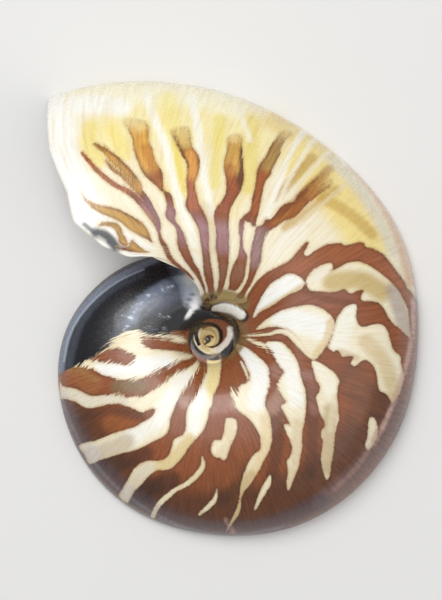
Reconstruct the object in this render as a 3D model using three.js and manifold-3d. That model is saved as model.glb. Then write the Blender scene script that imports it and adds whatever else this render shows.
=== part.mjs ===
// Half of a chambered nautilus shell, sawn along its plane of symmetry and lying on the cut.
// Millimetres, +Z up. The origin is the pole of the spiral, on the cut plane; +Z points out of the flank.
// The shell grows counter-clockwise seen from +Z, and its mouth opens towards -X, +Y.
import * as THREE from "three";
import { LoftGeometry } from "three/addons/geometries/LoftGeometry.js";
import { mergeVertices } from "three/addons/utils/BufferGeometryUtils.js";
import Module from "manifold-3d";

const wasm = await Module();
wasm.setup();

// Growth is counted in degrees about the pole. The venter is the outer edge of the coil.
const knotStep = 30;
const firstKnot = 90;
const venterRadii = [
  27.3, 32.7, 40.1, 48.5, 54.7, 60.7, 64.7, 69.1, 70.4, 69.9, 73.1, 75.8, 83.7, 95.4, 108.5,
]; // from firstKnot on, one at each knotStep
const whorlRatio = 2.9; // how much one full turn widens the shell
const startStage = -600;
const lipStage = 483.5; // where the venter ends at the mouth
const lipHalfWidth = 39;

// The section of a whorl, as shares of the venter's radius and of the half width
const crestShare = 0.434;
const seamShare = 0.115;
const seamRise = 0.27;
const floorShare = 0.28; // where a chamber's inner side meets the cut, well inside the whorl before
// How far the growing edge runs ahead of the venter, in degrees, at shares of the venter's radius
const lead = [
  [0.19, -24], [0.23, -19], [0.28, -11], [0.327, -3.5], [0.372, 10.5], [0.445, 14.6], [0.565, 15.2],
  [0.665, 10], [0.827, 6.1], [1, 0],
];
const leadSpan = 95; // the edge takes this shape over the last degrees of growth

// Walls and septa
const wallAtStart = 0.5;
const wallAtLip = 1.7;
const septumAtStart = 0.45;
const septumAtLip = 1.2;
const firstSeptum = -360;
const lastSeptum = 360; // the body chamber starts here
const septumStep = 20;
const septumCentre = 0.665;
const septumDish = 0.17; // how deep a septum is dished, as a share of the venter's radius
const septumTilt = 5; // how far its outer end leads its middle, in degrees
const siphonShare = 0.6; // where the siphon pierces the septa
const siphonRadius = 0.021; // as a share of the venter's radius
const siphonStart = 60;
const coreRadius = 2.2; // the solid start of the coil
const coreHeight = 1.6;

// How finely the faces are cut: 0 degrees is the venter and 180 the seam in the umbilicus
const outerTurns = [5, 18, 31, 44, 57, 70, 83, 98, 114, 130, 146, 163, 180];
const innerTurns = [5, 31, 57, 83, 114, 146, 180];
const chamberTurns = [7, 24, 41, 58, 75, 95, 120, 145, 180];
const smallTurns = [12, 36, 64, 95, 140, 180];
const smallBefore = 100;
const siphonTurns = [330, 270, 210, 150, 90, 30];
const bowlRings = [0, 0.4, 0.75];
const smallRings = [0, 0.6];
const outerStep = 10;
// The coil is drawn in stretches of growth, each from its start with its own step and turns
const stretchTable = [
  [startStage, 20, innerTurns], [-420, 20, innerTurns], [-240, 15, innerTurns], [-60, 15, innerTurns],
  [120, outerStep, outerTurns], [300, outerStep, outerTurns],
];
const fullTurn = 360;
const chamberSpare = 10; // a chamber is cut clear of the coil to this far past the turn before it
const mouthSpare = 30;
const rimDraw = 0.9; // how far in the rim of the mouth is shaped
const pastLip = 6;
const pastMouth = 20; // the body chamber's cutter runs this far on beyond the lip
const sawSize = 256;
const belowCut = 2; // every solid runs this far below the plane of the cut
const middleRise = -0.03; // the middle of a section, just below the cut

const { degToRad, radToDeg, lerp, clamp, smoothstep } = THREE.MathUtils;

function venterRadius(stage) {
  const last = venterRadii.length - 1;
  const knot = (i) => {
    if (i < 0) return venterRadii[0] * whorlRatio ** ((i * knotStep) / fullTurn);
    return i > last ? 2 * venterRadii[last] - venterRadii[last - 1] : venterRadii[i];
  };
  const at = (stage - firstKnot) / knotStep;
  if (at < 0) return knot(at);
  const i = Math.min(Math.floor(at), last - 1);
  const f = at - i;
  const [a, b, c, d] = [knot(i - 1), knot(i), knot(i + 1), knot(i + 2)];
  return b + 0.5 * f * (c - a + f * (2 * a - 5 * b + 4 * c - d + f * (3 * (b - c) + d - a)));
}

const growth = (stage) => whorlRatio ** ((stage - lipStage) / fullTurn);
const halfWidth = (stage) => lipHalfWidth * growth(stage);
const wall = (stage) => lerp(wallAtStart, wallAtLip, growth(stage));
const septum = (stage) => lerp(septumAtStart, septumAtLip, growth(stage));

// Two quarter ellipses that meet at the crest of the flank
function sectionShape(turn) {
  const reach = turn < 90 ? 1 - crestShare : crestShare - seamShare;
  const foot = turn < 90 ? 0 : seamRise;
  return [
    crestShare + reach * Math.cos(degToRad(turn)),
    foot + (1 - foot) * Math.sin(degToRad(turn)),
  ];
}

// Radius and height of a point of the section, moved in from the outer face
function sectionPoint(stage, turn, inset) {
  const at = (t) => {
    const [share, rise] = sectionShape(t);
    return new THREE.Vector2(share * venterRadius(stage), rise * halfWidth(stage));
  };
  const along = at(Math.min(turn + 1, 180)).sub(at(Math.max(turn - 1, 0))).normalize();
  const point = at(turn);
  return [point.x - inset * along.y, point.y + inset * along.x];
}

function leadAt(share) {
  const i = clamp(lead.findIndex(([at]) => at >= share), 1, lead.length - 1);
  const [[from, a], [to, b]] = [lead[i - 1], lead[i]];
  return lerp(a, b, clamp((share - from) / (to - from), 0, 1));
}

const alongLip = (stage) => (share) =>
  stage + smoothstep(stage, lipStage - leadSpan, lipStage) * leadAt(share);

function place(radius, stage, height) {
  const angle = degToRad(stage);
  return new THREE.Vector3(radius * Math.cos(angle), radius * Math.sin(angle), height);
}

// A loop of points around one section, drawn in towards its middle. stageOf gives each its growth stage.
function loopAt(turns, stageOf, { draw = 1, hollow = false } = {}) {
  const drawn = (radius, height, stage) =>
    place(
      lerp(septumCentre * venterRadius(stage), radius, draw),
      stage,
      lerp(middleRise * halfWidth(stage), height, draw),
    );
  const top = turns.map((turn) => {
    const [share] = sectionShape(turn);
    const stage = stageOf(lerp(septumCentre, share, draw), draw);
    return drawn(...sectionPoint(stage, turn, hollow ? wall(stage) : 0), stage);
  });
  const bottom = [hollow ? floorShare : seamShare, 1].map((share) => {
    const stage = stageOf(lerp(septumCentre, share, draw), draw);
    const inset = hollow && share === 1 ? wall(stage) : 0;
    return drawn(share * venterRadius(stage) - inset, -belowCut, stage);
  });
  return [...top, ...bottom].reverse();
}

function solidFrom(geometry) {
  const bare = new THREE.BufferGeometry();
  bare.setAttribute("position", geometry.getAttribute("position"));
  bare.setIndex(geometry.getIndex());
  const merged = mergeVertices(bare, 1e-4);
  const corners = merged.index.array;
  const triVerts = [];
  for (let i = 0; i < corners.length; i += 3) {
    const [a, b, c] = corners.slice(i, i + 3);
    if (a !== b && b !== c && c !== a) triVerts.push(a, b, c);
  }
  return new wasm.Manifold(
    new wasm.Mesh({
      numProp: 3,
      vertProperties: merged.attributes.position.array,
      triVerts: new Uint32Array(triVerts),
    }),
  );
}

// The outer form of a stretch of the coil, filled
function filledWhorl(from, to, step, turns) {
  const spans = Math.round((to - from) / step);
  const stages = Array.from({ length: spans + 1 }, (_, i) => lerp(from, to, i / spans));
  const drawn = (stage, draw) => loopAt(turns, alongLip(stage), { draw });
  return solidFrom(
    new LoftGeometry([
      drawn(from - step, 0),
      ...stages.map((stage) => drawn(stage, 1)),
      drawn(to, rimDraw),
      drawn(to, 0),
    ]),
  );
}

// The dished face of a septum: side 1 looks to the mouth and -1 to the start
function septumFace(stage, side) {
  const halfThick = septum(stage) / venterRadius(stage) / 2;
  return (share, draw) => {
    const along = side * halfThick - septumDish * (1 - draw ** 2);
    const tilt = (septumTilt * (share - septumCentre)) / (1 - septumCentre);
    return stage + tilt + radToDeg(along / share);
  };
}

function chamber(from, to) {
  const small = from < smallBefore;
  const turns = small ? smallTurns : chamberTurns;
  const rings = small ? smallRings : bowlRings;
  const rear = septumFace(from, 1);
  const front = septumFace(to, -1);
  const between = (share, draw) => lerp(rear(share, draw), front(share, draw), 0.5);
  return solidFrom(
    new LoftGeometry([
      ...rings.map((draw) => loopAt(turns, rear, { draw, hollow: true })),
      loopAt(turns, rear, { hollow: true }),
      loopAt(turns, between, { hollow: true }),
      loopAt(turns, front, { hollow: true }),
      ...rings.toReversed().map((draw) => loopAt(turns, front, { draw, hollow: true })),
    ]),
  );
}

function bodyChamber() {
  const rear = septumFace(lastSeptum, 1);
  const loops = bowlRings.map((draw) => loopAt(outerTurns, rear, { draw, hollow: true }));
  loops.push(loopAt(outerTurns, rear, { hollow: true }));
  const end = lipStage + pastLip;
  const spans = Math.round((end - lastSeptum) / outerStep);
  for (let i = 1; i <= spans; i += 1) {
    const stage = lerp(lastSeptum + outerStep / 2, end, i / spans);
    loops.push(loopAt(outerTurns, alongLip(stage), { hollow: true }));
  }
  const beyond = () => end + pastMouth;
  loops.push(loopAt(outerTurns, beyond, { draw: rimDraw, hollow: true }));
  loops.push(loopAt(outerTurns, beyond, { draw: 0, hollow: true }));
  return solidFrom(new LoftGeometry(loops));
}

// The siphon's way through the septa, halved by the cut as they are
function siphonWay() {
  const ring = (stage, scale) =>
    siphonTurns.map((turn) => {
      const radius = venterRadius(stage);
      const reach = siphonRadius * radius * scale;
      return place(
        siphonShare * radius + reach * Math.cos(degToRad(turn)),
        stage,
        reach * Math.sin(degToRad(turn)),
      );
    });
  const loops = [ring(siphonStart, 0)];
  for (let stage = siphonStart; stage <= lastSeptum; stage += septumStep) loops.push(ring(stage, 1));
  loops.push(ring(lastSeptum, 0));
  return solidFrom(new LoftGeometry(loops));
}

const stretches = stretchTable.map(([from, step, turns], i) => {
  const to = i + 1 < stretchTable.length ? stretchTable[i + 1][0] : lipStage;
  return { from, solid: filledWhorl(from, to, step, turns) };
});

const core = solidFrom(
  new THREE.SphereGeometry(coreRadius, 12, 8).scale(1, 1, coreHeight / coreRadius),
);
const coilUpTo = (stage) =>
  stretches.filter(({ from }) => from < stage).reduce((sum, { solid }) => sum.add(solid), core);

let shell = coilUpTo(Infinity);
for (let stage = firstSeptum; stage < lastSeptum; stage += septumStep) {
  const hollow = chamber(stage, stage + septumStep);
  shell = shell.subtract(hollow.subtract(coilUpTo(stage + septumStep + chamberSpare - fullTurn)));
}
shell = shell.subtract(bodyChamber().subtract(coilUpTo(lipStage + mouthSpare - fullTurn)));
shell = shell.subtract(siphonWay());

const underside = new THREE.BoxGeometry(sawSize, sawSize, sawSize).translate(0, 0, -sawSize / 2);
shell = shell.subtract(solidFrom(underside));

const { vertProperties, triVerts } = shell.getMesh();
const geometry = new THREE.BufferGeometry();
geometry.setAttribute("position", new THREE.BufferAttribute(vertProperties, 3));
geometry.setIndex(new THREE.BufferAttribute(triVerts, 1));
geometry.computeVertexNormals();

const mesh = new THREE.Mesh(
  geometry,
  new THREE.MeshStandardMaterial({ color: 0xc99a5e, roughness: 0.3, metalness: 0 }),
);
mesh.name = "shell";

const nautilusHalf = new THREE.Group();
nautilusHalf.add(mesh);
export default nautilusHalf;
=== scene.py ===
import math

import bpy
import numpy as np
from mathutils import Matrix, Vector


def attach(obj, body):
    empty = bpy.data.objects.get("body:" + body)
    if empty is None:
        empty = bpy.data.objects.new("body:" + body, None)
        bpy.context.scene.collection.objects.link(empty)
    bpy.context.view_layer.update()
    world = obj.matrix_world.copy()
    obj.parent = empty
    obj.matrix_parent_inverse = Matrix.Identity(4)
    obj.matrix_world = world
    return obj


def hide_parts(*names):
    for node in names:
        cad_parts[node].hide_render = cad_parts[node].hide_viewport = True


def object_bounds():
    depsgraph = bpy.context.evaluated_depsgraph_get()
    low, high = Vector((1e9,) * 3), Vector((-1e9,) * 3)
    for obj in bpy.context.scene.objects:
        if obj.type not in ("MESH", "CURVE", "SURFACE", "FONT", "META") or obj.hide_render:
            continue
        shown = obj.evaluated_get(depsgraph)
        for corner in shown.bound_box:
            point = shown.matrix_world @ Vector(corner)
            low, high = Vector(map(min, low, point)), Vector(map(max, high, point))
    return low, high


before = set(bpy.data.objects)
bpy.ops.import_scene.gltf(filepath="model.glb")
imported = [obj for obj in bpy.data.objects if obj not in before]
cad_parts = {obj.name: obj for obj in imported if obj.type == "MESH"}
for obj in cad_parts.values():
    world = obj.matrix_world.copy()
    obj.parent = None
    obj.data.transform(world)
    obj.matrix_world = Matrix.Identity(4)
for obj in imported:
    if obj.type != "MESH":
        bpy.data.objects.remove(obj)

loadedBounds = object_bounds()

mm = 0.001
picture = {"width": 442, "height": 600, "pole": (208, 340)}  # pixels, and the pixel of the spiral's pole
pixel = 1 / 3  # millimetres to a pixel on the plane of the cut


# the growing form: millimetres, degrees of growth about the pole, and shares of the venter's radius

spiral = {
    "firstKnot": 90,
    "knotStep": 30,
    "radii": [27.3, 32.7, 40.1, 48.5, 54.7, 60.7, 64.7, 69.1, 70.4, 69.9, 73.1, 75.8, 83.7, 95.4, 108.5],
    "ratio": 2.9,  # how much a full turn widens the shell
    "start": -600,
    "lip": 483.5,
    "lipSpan": 95,  # the lip takes its shape over these last degrees
    "halfWidth": 39,  # at the lip
    "crest": 0.434,  # where a section is highest
    "seam": 0.115,
    "seamRise": 0.27,
    "seamDepth": 0.35,  # how far a section runs into the wall before it, as a share of that wall
    "wallAtStart": 0.5,
    "wallGrowth": 1.2,
}
# how far the lip runs ahead of the venter, in degrees, at shares of the radius
lipLead = [
    (0.19, -24), (0.23, -19), (0.28, -11), (0.327, -3.5), (0.372, 10.5), (0.445, 14.6), (0.565, 15.2),
    (0.665, 10), (0.827, 6.1), (1, 0),
]


def eased(a, b, c, d, f):  # a smooth way from b to c that heeds their neighbours
    return b + 0.5 * f * (c - a + f * (2 * a - 5 * b + 4 * c - d + f * (3 * (b - c) + d - a)))


def venterTable():
    radii = spiral["radii"]
    last = len(radii) - 1

    def knot(i):
        if i < 0:
            return radii[0] * spiral["ratio"] ** (i * spiral["knotStep"] / 360)
        return 2 * radii[last] - radii[last - 1] if i > last else radii[i]

    stages, values = [], []
    for i in range(last):
        for f in np.linspace(0, 1, 20, endpoint=False):
            stages.append(spiral["firstKnot"] + (i + f) * spiral["knotStep"])
            values.append(eased(knot(i - 1), knot(i), knot(i + 1), knot(i + 2), f))
    return np.array(stages), np.array(values)


tableStages, tableRadii = venterTable()


def venterRadius(stage):
    stage = np.asarray(stage, float)
    early = spiral["radii"][0] * spiral["ratio"] ** ((stage - spiral["firstKnot"]) / 360)
    return np.where(stage < spiral["firstKnot"], early, np.interp(stage, tableStages, tableRadii))


def growth(stage):
    return spiral["ratio"] ** ((np.asarray(stage, float) - spiral["lip"]) / 360)


def halfWidth(stage):
    return spiral["halfWidth"] * growth(stage)


def wallThickness(stage):
    return spiral["wallAtStart"] + spiral["wallGrowth"] * growth(stage)


# radius and height of a section at a turn from 0, the venter, to 180, the seam
def sectionPoint(stage, turn, inset=0.0):
    outer = np.asarray(turn, float) < 90
    crest, seam, rise = spiral["crest"], spiral["seam"], spiral["seamRise"]
    reach = np.where(outer, 1 - crest, crest - seam)
    foot = np.where(outer, 0.0, rise)
    c, s = np.cos(np.radians(turn)), np.sin(np.radians(turn))
    radius, width = venterRadius(stage), halfWidth(stage)
    alongR, alongZ = -reach * s * radius, (1 - foot) * c * width
    length = np.hypot(alongR, alongZ) + 1e-9
    r = (crest + reach * c) * radius - inset * alongZ / length
    z = (foot + (1 - foot) * s) * width + inset * alongR / length
    return r, z


def sectionShare(turn):
    crest, seam = spiral["crest"], spiral["seam"]
    c = np.cos(np.radians(turn))
    return np.where(np.asarray(turn) < 90, crest + (1 - crest) * c, crest + (crest - seam) * c)


# height of the outer face over a point of the plan, or -1 where the whorl doesn't reach
def flankHeight(stage, radius):
    crest, seam, rise = spiral["crest"], spiral["seam"], spiral["seamRise"]
    share = radius / venterRadius(stage)
    outside = np.sqrt(np.clip(1 - ((share - crest) / (1 - crest)) ** 2, 0, 1))
    inside = rise + (1 - rise) * np.sqrt(np.clip(1 - ((share - crest) / (crest - seam)) ** 2, 0, 1))
    height = np.where(share > crest, outside, inside) * halfWidth(stage)
    return np.where((share > 1) | (stage < spiral["start"]), -1.0, height)


def alongLip(stage, share):
    shares, leads = zip(*lipLead)
    t = np.clip((stage - (spiral["lip"] - spiral["lipSpan"])) / spiral["lipSpan"], 0, 1)
    return stage + t * t * (3 - 2 * t) * np.interp(share, shares, leads)


def place(radius, stage, height):
    angle = np.radians(stage)
    return np.stack([radius * np.cos(angle), radius * np.sin(angle), height], -1)


# the turn at which each section meets the whorl before, a little way into it
def seamTurns(stages):
    turns = np.linspace(95, 180, 171)
    farAway = 99.0
    s, t = np.meshgrid(stages, turns, indexing="ij")
    reached = alongLip(s, sectionShare(t))
    r, z = sectionPoint(reached, t)
    before = flankHeight(reached - 360, r)
    depth = spiral["seamDepth"] * wallThickness(reached - 360)
    over = np.where(before > 0, z - before + depth, farAway)
    ends = np.full(len(stages), 180.0)
    for i, line in enumerate(over):
        under = np.flatnonzero(line < 0)
        if len(under) and under[0] > 0:
            j = under[0]
            part = line[j - 1] / (line[j - 1] - line[j]) if line[j - 1] < farAway else 1.0
            ends[i] = turns[j - 1] + part * (turns[j] - turns[j - 1])
    return ends


# meshes

def pick(piece):
    bpy.ops.object.select_all(action="DESELECT")
    piece.select_set(True)
    bpy.context.view_layer.objects.active = piece


def readPlaces(piece):
    places = np.empty(len(piece.data.vertices) * 3, np.float32)
    piece.data.vertices.foreach_get("co", places)
    return places.reshape(-1, 3)


def movePlaces(piece, places):
    piece.data.vertices.foreach_set("co", places.astype(np.float32).ravel())


def readAttribute(piece, name):
    values = np.empty(len(piece.data.vertices), np.float32)
    piece.data.attributes[name].data.foreach_get("value", values)
    return values


def giveAttribute(piece, name, values):
    data = piece.data.attributes.new(name, "FLOAT", "POINT").data
    data.foreach_set("value", np.asarray(values, np.float32).ravel())


def giveColour(piece, name, values):
    rgba = np.ones((len(values), 4), np.float32)
    rgba[:, :3] = values
    piece.data.attributes.new(name, "FLOAT_COLOR", "POINT").data.foreach_set("color", rgba.ravel())


# a grid whose vertices are moved onto rows of points in millimetres
def gridSheet(name, points):
    rows, columns = points.shape[:2]
    bpy.ops.object.select_all(action="DESELECT")
    bpy.ops.mesh.primitive_grid_add(x_subdivisions=columns - 1, y_subdivisions=rows - 1, size=2)
    sheet = bpy.context.object
    sheet.name = name
    flat = readPlaces(sheet)
    column = np.rint((flat[:, 0] + 1) / 2 * (columns - 1)).astype(int)
    row = np.rint((flat[:, 1] + 1) / 2 * (rows - 1)).astype(int)
    movePlaces(sheet, points[row, column] * mm)
    return sheet, row, column


def mergeSeams(piece, distance=1e-7):
    pick(piece)
    bpy.ops.object.mode_set(mode="EDIT")
    bpy.ops.mesh.select_all(action="SELECT")
    bpy.ops.mesh.remove_doubles(threshold=distance)
    bpy.ops.mesh.dissolve_degenerate(threshold=distance)
    bpy.ops.mesh.select_all(action="SELECT")
    bpy.ops.mesh.normals_make_consistent(inside=False)
    bpy.ops.object.mode_set(mode="OBJECT")


def closeEnds(piece, sides):
    pick(piece)
    bpy.ops.object.mode_set(mode="EDIT")
    bpy.ops.mesh.select_all(action="SELECT")
    bpy.ops.mesh.fill_holes(sides=sides)
    bpy.ops.mesh.select_all(action="SELECT")
    bpy.ops.mesh.normals_make_consistent(inside=False)
    bpy.ops.object.mode_set(mode="OBJECT")


wall = {
    "outerColumns": 112,
    "innerColumns": 14,
    "heightShare": 0.45,  # what a step in height counts beside one seen from above
    "earlyStep": 6.0,  # degrees from row to row, up to lateFrom
    "lateFrom": 120.0,
    "lateSpacing": 0.66,  # millimetres from row to row along the venter
    "lipRows": [2.2, 1.3, 0.75, 0.3, 0.0],  # the last rows, in millimetres short of the lip
    "lipRadius": 90.0,
    "lipRound": 1.8,
}


def wallStages():
    early = np.arange(spiral["start"], wall["lateFrom"], wall["earlyStep"])
    nearLip = spiral["lip"] - np.degrees(np.array(wall["lipRows"]) / wall["lipRadius"])
    fineStep = 0.05
    fine = np.arange(wall["lateFrom"], nearLip[0], fineStep)
    travelled = np.cumsum(venterRadius(fine) * np.radians(fineStep))
    late = np.interp(np.arange(0, travelled[-1], wall["lateSpacing"]), travelled - travelled[0], fine)
    return np.concatenate([early, late, nearLip])


# turns along each section that lie evenly as seen from above
def evenTurns(stages, ends, count):
    turns = np.linspace(0, 1, 241)[None, :] * ends[:, None]
    r, z = sectionPoint(stages[:, None], turns)
    step = np.abs(np.diff(r, axis=1)) + wall["heightShare"] * np.abs(np.diff(z, axis=1))
    along = np.concatenate([np.zeros((len(stages), 1)), np.cumsum(step, 1)], 1)
    even = np.linspace(0, 1, count + 1)
    return np.array([np.interp(even * a[-1], a, t) for a, t in zip(along, turns)])


def buildWall():
    stages = wallStages()
    outerTurns = evenTurns(stages, seamTurns(stages), wall["outerColumns"])
    stride = wall["outerColumns"] // wall["innerColumns"]
    turn = np.concatenate([outerTurns, outerTurns[:, ::-stride], outerTurns[:, :1]], 1)
    face = np.zeros(turn.shape[1])  # 0 on the outer face, 1 on the inner
    face[wall["outerColumns"] + 1 : -1] = 1
    line = np.repeat(stages[:, None], turn.shape[1], 1)
    reached = alongLip(line, sectionShare(turn))
    fromLip = np.radians(spiral["lip"] - line) * wall["lipRadius"]
    rounding = np.sqrt(np.clip(1 - np.clip(1 - fromLip / wall["lipRound"], 0, 1) ** 2, 0, 1))
    thick = wallThickness(reached) * np.clip((line - stages[0]) / wall["earlyStep"], 0, 1)
    inset = thick * (1 - rounding) / 2 + face[None, :] * thick * rounding
    r, z = sectionPoint(reached, turn, inset)
    low, high = (np.array(corner) / mm for corner in loadedBounds)
    points = np.clip(place(r, reached, np.maximum(z, 0.0)), low, high)
    piece, row, column = gridSheet("shellWall", points)
    giveAttribute(piece, "stage", reached[row, column])
    giveAttribute(piece, "line", line[row, column])
    giveAttribute(piece, "turn", turn[row, column])
    giveAttribute(piece, "inside", face[column])
    mergeSeams(piece)
    closeEnds(piece, 2 * stride)
    return piece


septa = {
    "first": -560,
    "last": 360,
    "step": 20,
    "centre": 0.665,
    "floor": 0.28,  # where the inner side meets the cut
    "dish": 0.17,
    "dishShare": 0.12,  # nearer the pole than this the dish grows no deeper
    "tilt": 5.0,
    "thin": 0.42,
    "thicken": 0.7,
    "outerDepth": 0.6,  # how far it runs into the walls, as shares of them
    "innerDepth": 0.4,
    "poleRadius": 0.3,
    "across": 16,
    "around": 30,
}


# how far a point of the section lies from its middle towards its edge, from 0 to 1
def drawShare(share, rise):
    turns = np.linspace(0, 180, 91)
    unitR, unitZ = sectionPoint(spiral["lip"], turns)
    edgeX = unitR / venterRadius(spiral["lip"]) - septa["centre"]
    edgeY = unitZ / spiral["halfWidth"]
    edgeX = np.append(edgeX, septa["floor"] - septa["centre"])
    edgeY = np.append(edgeY, 0.0)
    angles, reach = np.arctan2(edgeY, edgeX), np.hypot(edgeX, edgeY)
    x, y = share - septa["centre"], rise
    return np.hypot(x, y) / np.interp(np.arctan2(y, x), angles, reach)


def septumEdges(stage, around):
    end = float(seamTurns(np.array([float(stage)]))[0])
    outer = sectionPoint(stage, around * end, septa["outerDepth"] * wallThickness(stage))
    before = stage - 360
    if before < spiral["start"]:
        return (np.full_like(outer[0], septa["poleRadius"]), np.zeros_like(outer[0])), outer
    turns = np.linspace(0, 180, 721)
    startTurn = float(np.interp(-outer[0][-1], -sectionShare(turns) * venterRadius(before), turns))
    inner = sectionPoint(before, around * startTurn, septa["innerDepth"] * wallThickness(before))
    return inner, outer


def septumPoints(stage):
    around = np.linspace(0, 1, septa["around"])
    across = np.linspace(0, 1, septa["across"])[:, None]
    (innerR, innerZ), (outerR, outerZ) = septumEdges(stage, around)
    r = innerR * (1 - across) + outerR * across
    z = innerZ * (1 - across) + outerZ * across
    share, rise = r / venterRadius(stage), z / halfWidth(stage)
    draw = np.clip(drawShare(share, rise), 0, 1)
    tilt = septa["tilt"] * (share - septa["centre"]) / (1 - septa["centre"])
    sag = septa["dish"] * (1 - draw**2) / np.maximum(share, septa["dishShare"])
    at = stage + tilt - np.degrees(sag)
    scale = venterRadius(at) / venterRadius(stage)
    return place(r * scale, at, np.maximum(z * halfWidth(at) / halfWidth(stage), 0.0))


def buildSepta():
    bowls = []
    for stage in range(septa["first"], septa["last"] + 1, septa["step"]):
        bowl, _, _ = gridSheet("septum", septumPoints(stage))
        solid = bowl.modifiers.new("thickness", "SOLIDIFY")
        solid.thickness = (septa["thin"] + septa["thicken"] * float(growth(stage))) * mm
        solid.offset = 0
        bpy.ops.object.modifier_apply(modifier="thickness")
        bowls.append(bowl)
    bpy.ops.object.select_all(action="DESELECT")
    for bowl in bowls:
        bowl.select_set(True)
    bpy.context.view_layer.objects.active = bowls[0]
    bpy.ops.object.join()
    piece = bpy.context.object
    piece.name = "septa"
    places = readPlaces(piece)
    places[:, 2] = np.maximum(places[:, 2], 0)  # nothing sinks below the cut
    movePlaces(piece, places)
    return piece


siphon = {"share": 0.6, "radius": 0.021, "first": 34.0, "last": 366.0, "step": 4.0, "around": 20}


# the siphon's half round way through the late septa
def cutSiphon(piece):
    stages = np.arange(siphon["first"], siphon["last"], siphon["step"])[:, None]
    around = np.linspace(0, 2 * np.pi, siphon["around"] + 1)[None, :]
    reach = siphon["radius"] * venterRadius(stages)
    r = siphon["share"] * venterRadius(stages) + reach * np.cos(around)
    stages = np.repeat(stages, siphon["around"] + 1, 1)
    way, _, _ = gridSheet("siphonWay", place(r, stages, reach * np.sin(around)))
    mergeSeams(way)
    closeEnds(way, siphon["around"])
    pick(piece)
    cut = piece.modifiers.new("siphon", "BOOLEAN")
    cut.operation = "DIFFERENCE"
    cut.object = way
    bpy.ops.object.modifier_apply(modifier="siphon")
    pick(way)
    bpy.ops.object.delete()


firstTurn = {"radius": 2.2, "height": 1.6, "segments": 32, "rings": 16}


# the solid start of the coil, a half dome on the cut
def buildStart():
    radius = firstTurn["radius"]
    bpy.ops.object.select_all(action="DESELECT")
    bpy.ops.mesh.primitive_uv_sphere_add(
        segments=firstTurn["segments"], ring_count=firstTurn["rings"], radius=radius * mm
    )
    start = bpy.context.object
    start.name = "coilStart"
    bpy.ops.object.mode_set(mode="EDIT")
    bpy.ops.mesh.select_all(action="SELECT")
    bpy.ops.transform.resize(value=(1, 1, firstTurn["height"] / radius))
    bpy.ops.mesh.bisect(plane_co=(0, 0, 0), plane_no=(0, 0, -1), use_fill=True, clear_outer=True)
    bpy.ops.object.mode_set(mode="OBJECT")
    return start


print("shell wall")
shellWall = buildWall()
print("septa")
septaPiece = buildSepta()
cutSiphon(septaPiece)
coilStart = buildStart()


# where the pattern lies, read as outlines in pixels of the picture, y down

# the pale upper flank, with all that lies above and beside it
upperCream = [
    (243, 303), (247, 296), (252, 288), (258, 280), (266, 273), (275, 268), (283, 264), (290, 260),
    (296, 253), (302, 246), (306, 242), (309, 243), (306, 249), (304, 254), (308, 256), (313, 252),
    (320, 248), (328, 244), (340, 243), (345, 245), (352, 244), (358, 242), (364, 243), (366, 247),
    (372, 248), (380, 252), (385, 256), (390, 262), (396, 270), (402, 278), (406, 284), (410, 290),
    (430, 292), (430, 60), (30, 60), (30, 300), (205, 303),
]
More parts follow.
